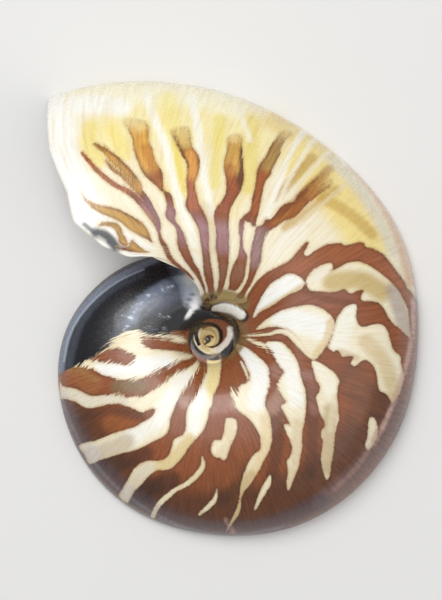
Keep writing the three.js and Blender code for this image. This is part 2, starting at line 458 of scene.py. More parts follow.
# brown flames on it; each fades in from the first point of its fade to the second
upperFlames = {
    "lipOchre": {
        "fade": [(74, 186), (90, 200)],
        "outline": [
            (80, 190), (84, 196), (90, 201), (100, 205), (110, 207), (120, 210), (130, 215), (140, 221),
            (146, 227), (149, 233), (151, 239), (153, 243), (148, 240), (140, 236), (130, 230),
            (120, 222), (112, 218), (100, 213), (92, 208), (85, 201),
        ],
    },
    "ochreWedge": {
        "fade": [(90, 138), (116, 160)],
        "outline": [
            (95, 143), (103, 145), (110, 151), (118, 156), (125, 163), (132, 170), (139, 180), (142, 189),
            (135, 184), (129, 178), (121, 171), (113, 164), (107, 157), (101, 150),
        ],
    },
    "leftFlame": {
        "fade": [(132, 112), (140, 142)],
        "outline": [
            (125, 120), (128, 130), (132, 140), (133, 150), (137, 160), (141, 170), (147, 178),
            (155, 185), (160, 190), (164, 194), (166, 200), (167, 207), (165, 215), (168, 220),
            (174, 226), (177, 233), (177, 242), (179, 250), (184, 260), (190, 268), (197, 277),
            (202, 287), (206, 297), (205, 287), (202, 278), (199, 270), (194, 262), (190, 252),
            (187, 244), (184, 234), (180, 227), (175, 220), (176, 213), (174, 207), (173, 200),
            (170, 193), (164, 190), (163, 183), (163, 175), (160, 168), (155, 160), (152, 150),
            (149, 140), (149, 130), (145, 122),
        ],
    },
    "middleFlame": {
        "fade": [(178, 112), (188, 158)],
        "outline": [
            (172, 130), (173, 138), (177, 147), (182, 155), (186, 162), (187, 170), (186, 178),
            (186, 185), (187, 195), (185, 205), (189, 213), (195, 222), (199, 232), (200, 240),
            (202, 252), (203, 263), (204, 275), (207, 286), (210, 297), (214, 297), (214, 286),
            (213, 275), (211, 262), (209, 248), (209, 235), (208, 222), (204, 212), (199, 203),
            (197, 195), (195, 184), (198, 175), (200, 165), (199, 155), (194, 148), (191, 140),
            (188, 128),
        ],
    },
    "tallFlame": {
        "fade": [(233, 124), (233, 152)],
        "outline": [
            (228, 138), (227, 150), (224, 160), (224, 170), (226, 180), (226, 190), (224, 197),
            (220, 203), (215, 210), (214, 218), (216, 230), (216, 240), (216, 250), (218, 262),
            (219, 275), (218, 285), (217, 292), (215, 298), (218, 298), (222, 292), (224, 286),
            (226, 278), (228, 268), (229, 258), (229, 245), (229, 230), (229, 216), (231, 208),
            (235, 200), (240, 192), (243, 183), (244, 175), (243, 165), (243, 155), (242, 145),
            (240, 135),
        ],
    },
    "leaningFlame": {
        "fade": [(294, 126), (278, 150)],
        "outline": [
            (282, 132), (275, 140), (270, 148), (266, 155), (261, 162), (257, 170), (256, 180),
            (254, 190), (252, 200), (250, 210), (246, 214), (242, 218), (239, 222), (239, 230),
            (240, 240), (239, 250), (237, 258), (233, 265), (230, 275), (229, 285), (228, 290),
            (230, 290), (236, 291), (241, 289), (245, 283), (247, 275), (248, 268), (248, 260),
            (247, 255), (244, 250), (243, 245), (243, 235), (244, 228), (245, 221), (250, 224),
            (255, 227), (256, 222), (258, 215), (260, 205), (262, 195), (264, 187), (266, 180),
            (270, 176), (272, 170), (276, 162), (279, 155), (282, 147), (286, 140), (292, 134),
        ],
    },
    "broadFlame": {
        "fade": [(340, 166), (306, 196)],
        "outline": [
            (326, 168), (318, 176), (310, 182), (303, 189), (297, 196), (293, 202), (285, 204),
            (280, 207), (275, 214), (270, 219), (266, 218), (262, 224), (256, 228), (255, 233),
            (253, 240), (251, 248), (250, 258), (249, 268), (248, 276), (244, 285), (241, 291),
            (236, 297), (243, 299), (246, 292), (250, 286), (253, 280), (256, 273), (259, 266),
            (261, 260), (262, 252), (263, 243), (265, 236), (268, 231), (275, 228), (282, 224),
            (290, 219), (298, 213), (305, 206), (312, 200), (322, 192), (332, 185),
        ],
    },
    "lipBlotch": {
        "fade": [(94, 220), (104, 226)],
        "outline": [
            (98, 224), (103, 222), (110, 222), (118, 224), (121, 228), (123, 234), (126, 238), (128, 245),
            (124, 247), (119, 242), (118, 236), (114, 229), (108, 226), (100, 226),
        ],
    },
    "lipStreak": {
        "fade": [(112, 244), (124, 248)],
        "outline": [
            (117, 247), (128, 247), (131, 240), (134, 241), (139, 246), (146, 251), (150, 252),
            (143, 253), (133, 252), (122, 250),
        ],
    },
}

# ribbons: points with a half width at each
upperRibbons = {
    "outerBranch": [
        (82, 153, 1.5), (87, 159, 2), (93, 166, 2.2), (100, 173, 2.5), (108, 180, 2.5), (117, 186, 2.5),
        (127, 191, 3), (135, 197, 3), (141, 203, 3.2), (147, 210, 3.5), (153, 218, 3.5), (157, 226, 2.4),
        (159, 232, 1.6), (161, 240, 1.8), (165, 247, 2.8), (170, 258, 2.4), (177, 265, 1.8),
        (187, 273, 1.5), (193, 280, 1.3),
    ],
    "innerBranch": [
        (106, 161, 1.2), (112, 168, 1.8), (120, 174, 2.2), (127, 180, 2.6), (134, 186, 3),
        (141, 193, 3.2), (147, 201, 3), (153, 212, 3), (158, 222, 2.6), (159, 232, 1.6),
    ],
    "darkEdge": [
        (94, 144, 1.2), (100, 149, 1.4), (110, 154, 1.6), (118, 159, 1.6), (125, 166, 1.7),
        (132, 173, 1.7), (138, 181, 1.7), (141, 188, 1.4),
    ],
}
paleRibbons = {
    "fork": [
        (248, 226, 4), (248, 240, 3), (249, 252, 1.5), (248, 265, 1.5), (246, 278, 1.6), (241, 288, 1.6),
        (237, 291, 1),
    ],
}

# cream shapes on the lower brown, brown islands in them, and thin cream ribbons
lowerCream = {
    "first": [
        (253, 317), (256, 308), (260, 300), (264, 293), (268, 287), (273, 282), (280, 278), (287, 274),
        (294, 274), (300, 277), (304, 281), (303, 287), (298, 291), (290, 294), (283, 298), (276, 303),
        (268, 308), (260, 312), (255, 317),
    ],
    "second": [
        (307, 285), (306, 281), (308, 276), (312, 271), (318, 267), (325, 264), (331, 263), (333, 267),
        (331, 271), (338, 268), (345, 264), (352, 262), (360, 262), (368, 265), (376, 270), (384, 276),
        (392, 283), (398, 290), (402, 297), (405, 303), (408, 310), (409, 318), (410, 330), (411, 338),
        (406, 335), (400, 329), (394, 324), (389, 318), (386, 312), (382, 306), (377, 302), (371, 301),
        (364, 301), (361, 299), (362, 294), (364, 290), (358, 290), (352, 293), (348, 292), (345, 289),
        (338, 291), (330, 292), (320, 291), (312, 291), (308, 288),
    ],
    "third": [
        (257, 328), (262, 323), (270, 317), (280, 311), (290, 308), (300, 306), (310, 305), (318, 307),
        (326, 311), (332, 317), (334, 322), (333, 330), (330, 338), (327, 345), (322, 352), (318, 357),
        (313, 360), (308, 353), (302, 347), (298, 340), (292, 333), (286, 329), (278, 327), (268, 327),
        (260, 329),
    ],
    "fourth": [
        (328, 347), (331, 340), (333, 333), (335, 326), (337, 318), (341, 312), (345, 307), (350, 305),
        (355, 304), (357, 308), (356, 315), (357, 321), (360, 326), (365, 327), (371, 325), (378, 324),
        (384, 326), (388, 332), (390, 340), (392, 347), (395, 352), (400, 356), (401, 363), (403, 371),
        (404, 377), (402, 385), (400, 392), (397, 397), (394, 401), (392, 404), (390, 399), (386, 394),
        (380, 391), (378, 384), (377, 376), (375, 369), (371, 363), (366, 360), (361, 361), (358, 364),
        (354, 366), (351, 363), (354, 357), (348, 356), (342, 356), (339, 351), (336, 350), (334, 352),
        (331, 350),
    ],
    "fifth": [
        (312, 361), (318, 362), (325, 366), (331, 370), (336, 375), (339, 381), (338, 386), (337, 395),
        (338, 405), (338, 412), (339, 419), (337, 426), (335, 434), (334, 445), (333, 455), (331, 465),
        (330, 474), (327, 480), (324, 474), (322, 466), (321, 458), (322, 450), (323, 441), (321, 436),
        (322, 430), (325, 426), (324, 420), (320, 414), (318, 405), (316, 397), (319, 392), (320, 386),
        (316, 380), (314, 372), (312, 366),
    ],
    "sixth": [
        (266, 346), (268, 342), (275, 341), (282, 343), (288, 348), (294, 355), (298, 363), (300, 372),
        (302, 381), (305, 389), (306, 398), (306, 408), (305, 418), (303, 428), (302, 438), (302, 448),
        (300, 458), (299, 466), (296, 473), (293, 481), (289, 490), (287, 488), (287, 480), (288, 470),
        (287, 461), (290, 457), (292, 450), (291, 442), (288, 436), (285, 430), (284, 425), (288, 424),
        (290, 425), (287, 418), (284, 412), (281, 406), (286, 402), (283, 397), (279, 390), (277, 384),
        (280, 378), (284, 372), (280, 367), (276, 361), (273, 355), (269, 350),
    ],
    "seventh": [
        (233, 343), (240, 345), (247, 348), (254, 353), (260, 358), (266, 364), (269, 370), (270, 378),
        (269, 388), (266, 396), (265, 405), (268, 412), (270, 418), (271, 425), (272, 435), (271, 445),
        (268, 453), (264, 460), (260, 468), (256, 475), (252, 482), (247, 488), (243, 493), (241, 500),
        (241, 507), (239, 513), (235, 520), (230, 526), (226, 532), (233, 516), (237, 508), (239, 500),
        (240, 492), (241, 485), (243, 477), (246, 468), (250, 460), (255, 454), (260, 450), (261, 443),
        (260, 436), (256, 428), (251, 421), (246, 416), (240, 412), (235, 407), (233, 400), (231, 393),
        (231, 386), (234, 390), (237, 395), (238, 389), (242, 385), (248, 382), (250, 376), (247, 368),
        (244, 361), (240, 355), (236, 348),
    ],
    "eighth": [
        (208, 357), (207, 365), (206, 372), (203, 380), (200, 388), (195, 396), (190, 404), (187, 412),
        (186, 420), (186, 428), (183, 435), (178, 437), (174, 440), (172, 447), (169, 455), (163, 460),
        (155, 461), (147, 461), (140, 464), (134, 469), (130, 476), (126, 483), (122, 490), (119, 496),
        (127, 503), (131, 497), (135, 490), (141, 485), (146, 479), (151, 474), (157, 470), (165, 470),
        (171, 468), (177, 463), (182, 457), (187, 450), (192, 443), (197, 438), (202, 432), (205, 426),
        (208, 418), (209, 410), (212, 405), (213, 397), (216, 390), (219, 383), (220, 375), (221, 368),
        (221, 360), (220, 354),
    ],
    "ninth": [
        (226, 419), (231, 418), (236, 420), (237, 427), (236, 434), (233, 441), (230, 447), (228, 453),
        (225, 460), (220, 458), (214, 456), (211, 451), (212, 445), (215, 440), (221, 440), (224, 433),
        (225, 426),
    ],
    "rightIsland": [
        (369, 419), (374, 418), (377, 424), (378, 430), (377, 437), (374, 443), (371, 448), (368, 450),
        (365, 445), (367, 439), (368, 432),
    ],
    "leftTongue": [
        (199, 361), (194, 364), (188, 368), (180, 371), (172, 375), (165, 381), (158, 387), (152, 391),
        (146, 394), (138, 397), (128, 396), (115, 395), (103, 395), (92, 396), (84, 393), (76, 389),
        (66, 387), (62, 385), (60, 382), (60, 398), (66, 399), (76, 402), (84, 407), (92, 408),
        (100, 406), (110, 404), (120, 404), (130, 407), (138, 411), (143, 412), (150, 409), (155, 409),
        (154, 414), (150, 418), (143, 422), (135, 427), (125, 430), (115, 433), (105, 437), (95, 441),
        (88, 442), (79, 446), (84, 454), (90, 464), (100, 460), (110, 457), (122, 453), (132, 451),
        (142, 447), (152, 442), (160, 438), (166, 434), (169, 428), (170, 420), (173, 411), (177, 403),
        (181, 396), (186, 389), (190, 382), (195, 374), (198, 367),
    ],
    "filmTongue": [
        (74, 367), (82, 362), (90, 359), (98, 352), (108, 343), (116, 337), (126, 331), (138, 330),
        (150, 334), (162, 333), (174, 335), (184, 338), (186, 342), (178, 343), (170, 340), (160, 338),
        (150, 336), (141, 338), (145, 346), (155, 349), (165, 350), (176, 351), (186, 353), (193, 355),
        (190, 358), (180, 361), (170, 366), (160, 370), (150, 374), (140, 378), (128, 380), (115, 378),
        (103, 375), (96, 371), (86, 367), (80, 366),
    ],
}
lowerIslands = {
    "tongueIsland": [
        (90, 360), (95, 355), (100, 352), (108, 350), (118, 348), (128, 352), (135, 356), (133, 361),
        (128, 365), (120, 364), (112, 363), (103, 362), (95, 361),
    ],
}
lowerRibbons = {
    "sliver": [
        (243, 336, 0.8), (255, 335, 1.2), (268, 334.5, 1.5), (278, 331.5, 2), (288, 333, 3),
        (296, 340, 3.5), (303, 348, 3), (309, 355, 2), (313, 359, 1),
    ],
    "root": [(247, 338.5, 0.8), (256, 343, 2), (264, 346, 2), (268, 353, 1)],
    "leftSplash": [
        (202, 457, 1), (203, 463, 2), (201, 470, 2.6), (194, 478, 2.6), (185, 485, 2.2), (175, 490, 2),
        (168, 496, 2.6), (161, 502, 2.6), (156, 509, 2.4), (153, 516, 2.4),
    ],
    "footSplash": [
        (217, 489, 0.6), (216, 496, 1.5), (213, 502, 2.4), (207, 508, 2.2), (202, 512, 1.6),
        (199, 515, 0.8),
    ],
    "rightSplash": [
        (270, 476, 1), (268, 483, 3), (264, 490, 3), (260, 498, 2.4), (257, 505, 1.6), (255, 509, 1),
    ],
    "whiteSliver": [(241, 362, 1), (245, 370, 1.4), (248, 378, 1)],
}

# the black film on the whorl before
blackFilm = [
    (40, 385), (60, 373), (74, 366), (90, 358), (98, 352), (110, 341), (126, 331), (138, 330), (150, 334),
    (165, 333), (180, 331), (196, 328), (206, 318), (206, 290), (206, 240), (30, 200),
]
# the white callus at the navel, swollen by its height in millimetres over a slope in pixels
callus = {
    "path": [(216, 310, 6.5), (224, 308, 6.5), (233, 310, 6.5), (241, 315, 5.5)],
    "height": 1.1,
    "slope": 5,
    "firmness": 4,  # how sharp its edge is
}


# soft brush strokes of colour: display colour, radius in pixels, strength, path

creamBase = (250, 240, 212)
creamStrokes = [
    # the upper flank
    ((252, 238, 172), 34, 0.8, [(112, 134), (150, 122), (205, 124), (258, 136)]),
    ((250, 234, 178), 26, 0.7, [(150, 160), (190, 190), (214, 214), (250, 170)]),
    ((255, 254, 248), 32, 0.95, [(50, 100), (56, 140), (70, 180), (82, 210), (105, 240), (130, 256)]),
    ((255, 250, 218), 16, 0.8, [(75, 98), (130, 92), (190, 96), (236, 108)]),
    ((244, 226, 134), 13, 0.8, [(90, 128), (88, 146), (98, 160)]),
    ((250, 232, 138), 12, 0.7, [(112, 130), (118, 140), (124, 154)]),
    ((255, 255, 250), 14, 0.8, [(76, 104), (104, 104), (122, 108)]),
    ((250, 236, 150), 14, 0.7, [(168, 100), (172, 130), (178, 160), (182, 190)]),
    ((244, 222, 112), 6, 0.9, [(176, 146), (179, 168), (182, 190)]),
    ((242, 226, 130), 10, 0.75, [(220, 120), (218, 150), (214, 184)]),
    ((240, 220, 128), 13, 0.8, [(252, 122), (250, 150), (248, 186)]),
    ((240, 214, 120), 6, 0.7, [(156, 178), (164, 190), (172, 204)]),
    # pale lines between the flames
    ((255, 253, 240), 7, 0.9, [
        (147, 96), (154, 118), (166, 146), (171, 170), (178, 196), (188, 222), (194, 244),
    ]),
    ((255, 253, 240), 7, 0.9, [(192, 98), (199, 136), (202, 166), (208, 196), (212, 214)]),
    ((252, 246, 226), 5, 0.8, [(238, 108), (250, 140)]),
    # the shoulder
    ((240, 214, 136), 18, 0.85, [(276, 120), (300, 136), (324, 154)]),
    ((250, 228, 144), 30, 0.9, [(300, 160), (330, 188), (352, 218), (368, 244)]),
    ((210, 172, 84), 9, 0.7, [(320, 196), (350, 214), (372, 234)]),
    ((196, 158, 80), 8, 0.75, [(276, 198), (292, 180), (312, 158)]),
    ((186, 140, 66), 7, 0.7, [(282, 212), (306, 190), (330, 168)]),
    ((206, 166, 84), 8, 0.7, [(286, 228), (310, 210), (336, 190)]),
    ((254, 250, 234), 4.5, 0.95, [(266, 218), (274, 196), (284, 168), (294, 146), (304, 132)]),
    ((252, 246, 224), 4, 0.85, [(278, 204), (291, 176), (311, 143), (322, 136)]),
    ((250, 242, 218), 3.5, 0.7, [(290, 198), (306, 176), (328, 152)]),
    ((244, 232, 196), 4, 0.6, [(300, 222), (322, 204), (346, 184)]),
    ((252, 246, 228), 12, 0.8, [(276, 254), (286, 240), (300, 232)]),
    # the rim: painted reflection, a grey line and a peach line along it
    ((228, 222, 206), 8, 0.6, [(330, 158), (356, 186), (378, 220), (393, 252)]),
    ((226, 182, 146), 10, 0.8, [(354, 164), (382, 199), (401, 239), (412, 282)]),
    # beside the navel
    ((255, 252, 240), 15, 0.85, [(192, 262), (205, 285), (210, 300)]),
    ((226, 208, 176), 8, 0.6, [(205, 206), (210, 222), (212, 250)]),
    # the shapes of the lower flank
    ((255, 255, 252), 18, 0.95, [(262, 306), (280, 292), (292, 284)]),
    ((222, 196, 140), 6, 0.7, [(262, 312), (282, 300), (300, 288)]),
    # bright white here is a painted highlight
    ((255, 255, 250), 18, 0.95, [(282, 318), (300, 322), (322, 328)]),
    ((226, 200, 142), 6, 0.7, [(330, 322), (326, 340), (316, 354)]),
    ((206, 180, 112), 15, 0.85, [(332, 282), (360, 280), (382, 292)]),
    ((246, 238, 220), 8, 0.85, [(311, 279), (324, 270)]),
    # grey at the rim here is painted reflection
    ((176, 160, 158), 12, 0.7, [(394, 290), (406, 330)]),
    ((255, 252, 238), 14, 0.85, [(338, 345), (346, 322), (352, 310)]),
    ((222, 198, 146), 12, 0.7, [(366, 342), (384, 362), (394, 392)]),
    ((214, 190, 150), 6, 0.6, [(342, 352), (356, 358)]),
    ((255, 250, 232), 10, 0.85, [(316, 366), (328, 380), (330, 392)]),
    ((198, 172, 126), 11, 0.75, [(330, 410), (329, 440), (328, 468)]),
    ((236, 224, 190), 5, 0.6, [(334, 396), (330, 430)]),
    ((255, 254, 246), 12, 0.95, [(276, 350), (290, 372), (296, 400)]),
    ((226, 206, 168), 10, 0.7, [(298, 424), (298, 456), (291, 484)]),
    # bright white here is a painted highlight
    ((255, 255, 252), 14, 0.95, [(244, 354), (260, 376), (256, 402)]),
    ((236, 212, 164), 10, 0.75, [(266, 420), (266, 446), (256, 470)]),
    ((206, 178, 126), 12, 0.75, [(250, 478), (240, 502), (230, 526)]),
    ((240, 222, 150), 10, 0.8, [(214, 358), (214, 376), (210, 392)]),
    # bright white here is a painted highlight
    ((255, 254, 246), 12, 0.9, [(200, 394), (196, 412), (194, 426)]),
    ((226, 202, 136), 10, 0.75, [(190, 440), (176, 456), (160, 466)]),
    ((226, 214, 190), 12, 0.8, [(146, 468), (134, 484), (124, 498)]),
    ((236, 222, 176), 6, 0.7, [(200, 456), (204, 470), (192, 482)]),
    ((234, 216, 176), 8, 0.7, [(230, 424), (230, 440), (220, 456)]),
    ((228, 220, 204), 14, 0.7, [(62, 390), (88, 400), (120, 400)]),
    # bright white here is a painted highlight
    ((255, 254, 246), 14, 0.85, [(132, 436), (156, 420), (170, 400), (184, 380)]),
    ((206, 190, 168), 14, 0.75, [(88, 456), (108, 450), (126, 442)]),
    ((255, 255, 252), 14, 0.9, [(104, 370), (140, 366), (166, 364)]),
    ((206, 190, 170), 8, 0.6, [(168, 338), (178, 350), (186, 352)]),
    ((226, 208, 158), 10, 0.5, [(100, 352), (124, 338)]),
]
brownBase = (144, 79, 40)
brownStrokes = [
    # the upper flames
    # painted sheen: a mauve band across the flames
    ((170, 126, 130), 24, 0.8, [(152, 214), (176, 224), (204, 236), (224, 238), (246, 240), (262, 246)]),
    ((204, 158, 78), 20, 0.9, [(84, 194), (110, 206), (140, 226)]),
    ((150, 92, 44), 3, 0.8, [(82, 190), (100, 203), (122, 211), (146, 226)]),
    ((208, 158, 74), 16, 0.9, [(100, 146), (122, 164), (138, 182)]),
    ((140, 84, 44), 3, 0.8, [(96, 144), (118, 158), (136, 178)]),
    ((188, 108, 48), 10, 0.8, [(84, 154), (104, 176), (124, 188)]),
    ((228, 172, 82), 17, 0.95, [(136, 120), (142, 142), (150, 162)]),
    ((176, 106, 42), 7, 0.6, [(145, 148), (152, 166), (160, 186)]),
    ((104, 76, 44), 3, 0.6, [(130, 134), (134, 152), (140, 168), (150, 180)]),
    ((232, 196, 108), 12, 0.8, [(180, 124), (186, 142)]),
    ((226, 160, 80), 11, 0.95, [(190, 156), (193, 178)]),
    ((110, 70, 40), 3, 0.8, [(174, 134), (182, 152), (188, 166)]),
    ((180, 106, 72), 12, 0.8, [(190, 186), (194, 204)]),
    ((216, 168, 86), 15, 0.95, [(236, 130), (234, 150), (232, 166)]),
    ((176, 104, 56), 8, 0.7, [(230, 168), (230, 184)]),
    ((96, 64, 46), 5, 0.8, [(242, 150), (242, 166), (239, 186)]),
    ((164, 90, 58), 12, 0.8, [(232, 190), (226, 206)]),
    ((178, 144, 80), 15, 0.85, [(286, 134), (276, 150), (268, 164)]),
    ((142, 92, 46), 4, 0.7, [(270, 146), (262, 160), (258, 176)]),
    ((166, 96, 50), 12, 0.8, [(264, 178), (256, 206)]),
    ((184, 128, 62), 13, 0.8, [(330, 174), (312, 192)]),
    ((172, 106, 50), 12, 0.8, [(300, 206), (280, 220)]),
    ((198, 154, 82), 8, 0.9, [(98, 224), (114, 227), (124, 240), (146, 251)]),
    ((244, 214, 130), 9, 0.7, [(134, 114), (141, 126)]),
    ((240, 206, 120), 8, 0.7, [(233, 128), (234, 138)]),
    ((126, 70, 36), 5, 0.7, [(306, 190), (290, 206), (274, 218)]),
    ((156, 122, 116), 12, 0.7, [(262, 236), (256, 262)]),
    ((150, 106, 84), 14, 0.6, [(206, 262), (222, 272), (240, 272)]),
    # under the flames
    ((168, 100, 62), 20, 0.6, [(296, 264), (330, 252), (370, 262), (398, 296)]),
    ((150, 96, 76), 18, 0.6, [(276, 330), (312, 298), (344, 296)]),
    ((120, 66, 36), 6, 0.6, [(304, 290), (330, 300), (348, 302)]),
    # the lower flank
    # painted shade in these nine strokes: darker towards the rim and beside the cream bands
    ((86, 50, 26), 36, 0.8, [
        (78, 424), (110, 470), (160, 508), (230, 512), (300, 496), (352, 456), (386, 410),
    ]),
    ((112, 71, 48), 24, 0.6, [(352, 378), (368, 404), (356, 440), (330, 484)]),
    ((104, 66, 42), 12, 0.5, [(276, 480), (300, 486), (318, 470)]),
    ((50, 32, 22), 14, 0.65, [(134, 498), (156, 486), (172, 480)]),
    ((60, 40, 26), 12, 0.6, [(96, 470), (122, 462), (146, 454)]),
    ((78, 48, 28), 9, 0.55, [(84, 416), (110, 411), (140, 416)]),
    ((70, 44, 28), 10, 0.5, [(272, 474), (278, 440), (276, 412)]),
    ((70, 44, 28), 10, 0.5, [(309, 474), (313, 430), (310, 396)]),
    ((72, 46, 30), 10, 0.5, [(222, 500), (236, 486), (246, 466)]),
    ((140, 84, 52), 12, 0.5, [(352, 384), (364, 398), (358, 418)]),
    ((134, 76, 38), 16, 0.6, [(196, 480), (220, 478), (238, 462)]),
    ((158, 92, 44), 14, 0.6, [(112, 424), (140, 430)]),
    # painted sheen in these five strokes: mauve on the brown along the crest
    ((176, 136, 118), 12, 0.75, [(238, 404), (256, 410), (274, 406), (284, 390)]),
    ((160, 118, 104), 9, 0.7, [(282, 366), (272, 372), (310, 376)]),
    ((156, 110, 92), 9, 0.6, [(312, 386), (314, 410)]),
    ((168, 120, 96), 8, 0.7, [(184, 404), (190, 386)]),
    ((150, 108, 90), 9, 0.6, [(300, 344), (310, 352)]),
    ((128, 108, 68), 11, 0.7, [(118, 386), (140, 386)]),
    ((172, 128, 74), 14, 0.6, [(76, 372), (92, 384)]),
    ((150, 82, 44), 10, 0.6, [(72, 378), (96, 388)]),
]
# painted reflection and shade along the rim, over the cream and over the brown: a lilac-grey sheen with
# pinkish lines, darker at the bottom
creamRimSheenAndShadeStrokes = [
    ((176, 160, 160), 12, 0.5, [(420, 296), (417, 340), (408, 386), (388, 430), (358, 470), (322, 502)]),
    ((214, 208, 208), 11, 0.55, [
        (322, 502), (280, 522), (232, 531), (190, 525), (150, 507), (112, 478), (82, 440), (62, 400),
    ]),
    ((206, 164, 148), 5, 0.6, [(413, 300), (412, 336), (400, 384), (373, 440)]),
]
brownRimSheenAndShadeStrokes = [
    ((134, 108, 106), 13, 0.55, [(420, 296), (417, 340), (408, 386), (388, 430), (358, 470), (322, 502)]),
    ((84, 68, 72), 14, 0.65, [
        (322, 502), (280, 522), (232, 531), (190, 525), (150, 507), (112, 478), (82, 440), (62, 400),
    ]),
    ((206, 164, 148), 4, 0.8, [(413, 300), (412, 336), (402, 380), (386, 420), (372, 446)]),
    ((170, 130, 118), 3.6, 0.55, [(378, 436), (356, 468), (334, 490)]),
    ((196, 148, 132), 4, 0.5, [(226, 520), (233, 532)]),
    ((150, 146, 160), 3, 0.3, [
        (62, 400), (80, 442), (110, 481), (150, 511), (192, 530), (236, 536), (284, 526),
    ]),
]
# the dark smudge at the lip, over both
lipSmudge = [
    ((52, 56, 60), 7.5, 0.95, [(96, 233), (104, 235), (110, 240), (116, 247)]),
    ((70, 74, 80), 4, 0.85, [(84, 224), (91, 230), (97, 233)]),
    ((196, 192, 180), 2.4, 0.7, [(99, 237), (105, 241)]),
]
filmBase = (10, 10, 18)
# painted light and shade on the film, over its black
filmLightAndShadeStrokes = [
    # painted light along its upper edge, at the rim: a grey-blue band and a pale line
    ((118, 128, 148), 5, 0.85, [
        (61, 372), (64, 350), (71, 328), (81, 311), (93, 297), (107, 284), (122, 275), (138, 267),
        (156, 260),
    ]),
    ((70, 78, 94), 5, 0.5, [
        (70, 366), (74, 346), (81, 326), (92, 309), (106, 295), (122, 284), (142, 275),
    ]),
    ((166, 176, 196), 1.6, 0.7, [
        (64, 362), (68, 340), (78, 319), (92, 302), (108, 288), (124, 278), (144, 269),
    ]),
    # the broad painted shine and the painted white glint beside the navel
    ((90, 98, 118), 20, 0.7, [(152, 300), (170, 290), (186, 282)]),
    ((140, 152, 174), 10, 0.6, [(166, 286), (151, 294), (140, 304), (133, 316), (129, 330)]),
    ((74, 84, 104), 8, 0.5, [(112, 344), (120, 330), (127, 318)]),
    ((190, 200, 216), 13, 0.8, [(180, 272), (188, 283), (192, 300)]),
    ((255, 255, 255), 6.5, 1, [(190, 278), (196, 287), (198, 297), (195, 305)]),
    ((255, 255, 252), 3.4, 1, [(196, 303), (191, 311), (187, 318), (185, 324)]),
    ((70, 72, 74), 1.8, 0.7, [(196, 291), (191, 297), (187, 305)]),
    # deep black as painted shade, along the lower edge to the seam by the navel and under the lip's edge
    ((5, 5, 9), 8, 0.9, [(120, 334), (150, 325), (176, 325), (200, 320)]),
    ((5, 5, 9), 8, 0.8, [(140, 289), (158, 276), (176, 272)]),
]
# the navel's rings, from its rim inwards, over every colour
navelStrokes = [
    # brown shade above and below
    ((134, 108, 62), 10, 0.9, [(208, 300), (224, 297), (242, 303)]),
    ((190, 168, 92), 4, 0.5, [(218, 296), (232, 297)]),
    ((128, 100, 58), 7, 0.85, [(240, 322), (243, 334), (238, 346), (230, 354)]),
    # the callus in its black bed, a dark seam line deepened into painted shade
    ((20, 14, 12), 8, 1, [(213, 310), (222, 308), (232, 310), (243, 316)]),
    ((20, 14, 12), 4, 1, [(198, 318), (203, 308), (208, 300), (214, 297)]),
    ((255, 254, 250), 5.6, 1, [(216, 310), (224, 308), (233, 310), (241, 315)]),
    # the hollow and its inner coil
    ((132, 74, 42), 15, 0.95, [(206, 328), (222, 328)]),
    # black rings along the coil's seams: a dark line deepened into painted shade
    ((18, 12, 12), 4.6, 1, [
        (194, 328), (192, 338), (195, 347), (203, 354), (214, 357), (225, 353), (233, 344), (236, 333),
        (233, 323), (225, 317), (214, 315), (203, 317), (194, 328),
    ]),
    ((18, 12, 12), 5, 1, [(176, 326), (190, 323), (202, 318)]),
    ((240, 226, 190), 4.2, 1, [(199, 330), (197, 338), (201, 346), (209, 351), (218, 350)]),
    ((226, 220, 208), 4, 1, [(218, 350), (225, 344), (230, 336), (230, 329)]),
    # the innermost seam, black in the same way
    ((18, 12, 12), 3, 1, [
        (199, 344), (196, 335), (199, 327), (207, 324), (216, 326), (221, 333), (220, 341), (213, 346),
        (206, 344),
    ]),
    ((226, 204, 150), 5.6, 1, [(204, 340), (206, 333), (213, 332), (214, 340), (208, 342)]),
    ((228, 206, 152), 3, 1, [(202, 347), (208, 350)]),
    ((112, 60, 34), 1.6, 0.9, [(206, 339), (209, 336), (213, 337)]),
    ((96, 50, 30), 1.4, 0.9, [(205, 344), (209, 341)]),
]

# where the film glints: strength, radius, path
glintStrokes = [
    (1, 8, [(172, 286), (158, 291), (146, 298), (136, 308), (130, 320), (124, 332), (114, 342)]),
    (0.7, 12, [(140, 306), (152, 314), (166, 318)]),
    (0.6, 10, [(108, 338), (116, 326), (124, 316)]),
    (0.75, 9, [(134, 326), (150, 328), (166, 328)]),
]
# where the edge of a marking breaks into hairlines: reach in pixels, radius, path
featherStrokes = [
    (6, 16, [(140, 346), (176, 340), (196, 346)]),
    (9, 20, [(120, 392), (150, 376), (176, 366)]),
    (7, 16, [(186, 400), (192, 380), (200, 364)]),
    (6, 14, [(236, 398), (246, 384), (284, 386)]),
    (5, 14, [(250, 330), (262, 346), (280, 352)]),
    (4, 16, [(270, 230), (300, 205), (330, 180)]),
    (3, 20, [(140, 140), (190, 145), (235, 150), (280, 150)]),
]
# the same along the coil
sweepStrokes = [
    (9, 13, [(84, 364), (100, 352), (126, 333), (150, 334), (176, 334), (192, 330)]),
    (10, 10, [(96, 358), (114, 357), (130, 358)]),
    (8, 12, [(116, 392), (138, 388), (156, 380), (176, 366)]),
    (6, 10, [(196, 372), (190, 392)]),
]


pattern = {
    "reach": 12.0,  # pixels to which the distance from an edge is followed
    "steps": 3,  # how many parts smooth each stretch of an outline
    "lastWhorl": 300,  # degrees of growth from which the wall is the last whorl's
    "filmEnd": 215,  # and up to which it can be under the film
    "flameMargin": -3,
    "ribbonMargin": -1,
    "softness": 0.65,  # share of a stroke's radius over which its colour comes in
    "navelSoftness": 0.35,
    "featherRise": 1.5,
    "glintRise": 1.2,
}


def linear(colour):
    c = np.asarray(colour, float) / 255
    return np.where(c < 0.04045, c / 12.92, ((c + 0.055) / 1.055) ** 2.4)


